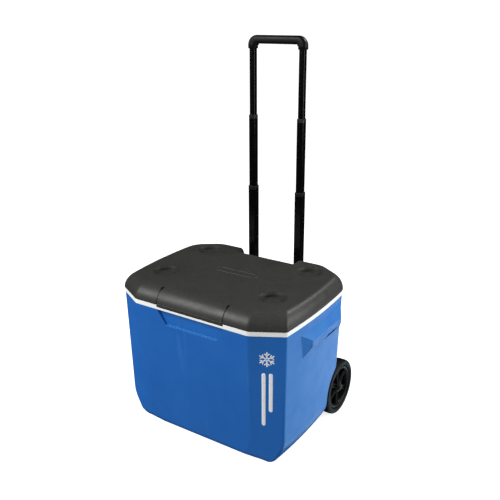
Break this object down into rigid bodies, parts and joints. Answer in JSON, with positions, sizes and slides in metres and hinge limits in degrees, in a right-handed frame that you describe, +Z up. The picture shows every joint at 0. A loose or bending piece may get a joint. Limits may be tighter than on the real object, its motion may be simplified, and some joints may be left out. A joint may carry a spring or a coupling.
{
  "type": "wheeled cooler box",
  "caption": "Insulated cooler box with hinged lid and cup holders, telescoping pull handle, moulded side handles and wheels at the back.",
  "frame": {"origin": "on the floor under the middle of the whole object's box", "axes": "+Z up, -Y the front with the finger recess, +Y the back with the handle and wheels, +X the right end seen from the front"},
  "size_m": [0.596, 0.472, 1.115],
  "materials": {
    "tub_blue": "satin moulded polyethylene",
    "liner_white": "smooth satin white polypropylene",
    "foam": "foamed, open skin",
    "lid_grey": "fine leather grain, satin",
    "hinge_black": "satin",
    "steel": "zinc plated",
    "tube_black": "gloss black powder coat",
    "guide_black": "satin",
    "grip_black": "soft satin",
    "wheel_black": "semi gloss",
    "tyre_black": "fine moulded tread",
    "rubber": "matt"
  },
  "bodies": {
    "tub": {"tub_shell": "tub_blue", "inner_liner": "liner_white", "tub_foam": "foam", "hinge_tub_leaf_left": "hinge_black", "hinge_tub_leaf_right": "hinge_black", "hinge_pin_left": "steel", "hinge_pin_right": "steel", "tub_hinge_screws": "steel", "bracket_screws": "steel", "fixed_tube_left": "tube_black", "fixed_tube_right": "tube_black", "fixed_tube_guides": "guide_black", "upper_bracket": "guide_black", "lower_bracket": "guide_black", "axle": "steel", "axle_cap_left": "steel", "axle_cap_right": "steel", "drain_spout": "liner_white", "drain_gasket": "rubber", "drain_nut": "guide_black"},
    "lid": {"lid_shell": "lid_grey", "lid_panel": "liner_white", "lid_foam": "foam", "hinge_lid_leaf_left": "hinge_black", "hinge_lid_leaf_right": "hinge_black", "lid_hinge_screws": "steel"},
    "lower_stage": {"lower_tube_left": "tube_black", "lower_tube_right": "tube_black", "lower_tube_guides": "guide_black", "lower_tube_end_plugs": "guide_black"},
    "middle_stage": {"middle_tube_left": "tube_black", "middle_tube_right": "tube_black", "middle_tube_guides": "guide_black", "middle_tube_end_plugs": "guide_black"},
    "upper_stage": {"upper_tube_left": "tube_black", "upper_tube_right": "tube_black", "upper_tube_end_plugs": "guide_black", "grip": "grip_black", "grip_pins": "tube_black"},
    "wheel_left": {"wheel_rim_left": "wheel_black", "tyre_left": "tyre_black"},
    "wheel_right": {"wheel_rim_right": "wheel_black", "tyre_right": "tyre_black"},
    "drain_cap": {"drain_cap": "guide_black"},
    "lower_button_left": {"lower_button_left": "tube_black"},
    "lower_button_right": {"lower_button_right": "tube_black"},
    "middle_button_left": {"middle_button_left": "tube_black"},
    "middle_button_right": {"middle_button_right": "tube_black"},
    "upper_button_left": {"upper_button_left": "tube_black"},
    "upper_button_right": {"upper_button_right": "tube_black"}
  },
  "joints": [
    {"name": "lid_hinge", "type": "hinge", "parent": "tub", "child": "lid", "pos_m": [0, 0.198, 0.445], "axis": [-1, 0, 0], "range_deg": [0, 75]},
    {"name": "lower_stage_slide", "type": "slide", "parent": "tub", "child": "lower_stage", "axis": [0, 0, 1], "range_m": [-0.244, 0]},
    {"name": "middle_stage_slide", "type": "slide", "parent": "lower_stage", "child": "middle_stage", "axis": [0, 0, 1], "range_m": [-0.22, 0]},
    {"name": "upper_stage_slide", "type": "slide", "parent": "middle_stage", "child": "upper_stage", "axis": [0, 0, 1], "range_m": [-0.192, 0]},
    {"name": "wheel_left_spin", "type": "hinge", "parent": "tub", "child": "wheel_left", "pos_m": [-0.258, 0.15, 0.086], "axis": [1, 0, 0], "continuous": true},
    {"name": "wheel_right_spin", "type": "hinge", "parent": "tub", "child": "wheel_right", "pos_m": [0.258, 0.15, 0.086], "axis": [1, 0, 0], "continuous": true},
    {"name": "drain_cap_turn", "type": "hinge", "parent": "tub", "child": "drain_cap", "pos_m": [-0.269, -0.077, 0.057], "axis": [-1, 0, 0], "continuous": true},
    {"name": "lower_button_left_press", "type": "slide", "parent": "lower_stage", "child": "lower_button_left", "axis": [-1, 0, 0], "range_m": [0, 0.0025], "stiffness_N_per_m": 800, "springref_m": -0.002},
    {"name": "lower_button_right_press", "type": "slide", "parent": "lower_stage", "child": "lower_button_right", "axis": [1, 0, 0], "range_m": [0, 0.0025], "stiffness_N_per_m": 800, "springref_m": -0.002},
    {"name": "middle_button_left_press", "type": "slide", "parent": "middle_stage", "child": "middle_button_left", "axis": [-1, 0, 0], "range_m": [0, 0.0025], "stiffness_N_per_m": 800, "springref_m": -0.002},
    {"name": "middle_button_right_press", "type": "slide", "parent": "middle_stage", "child": "middle_button_right", "axis": [1, 0, 0], "range_m": [0, 0.0025], "stiffness_N_per_m": 800, "springref_m": -0.002},
    {"name": "upper_button_left_press", "type": "slide", "parent": "upper_stage", "child": "upper_button_left", "axis": [-1, 0, 0], "range_m": [0, 0.0025], "stiffness_N_per_m": 800, "springref_m": -0.002},
    {"name": "upper_button_right_press", "type": "slide", "parent": "upper_stage", "child": "upper_button_right", "axis": [1, 0, 0], "range_m": [0, 0.0025], "stiffness_N_per_m": 800, "springref_m": -0.002}
  ]
}
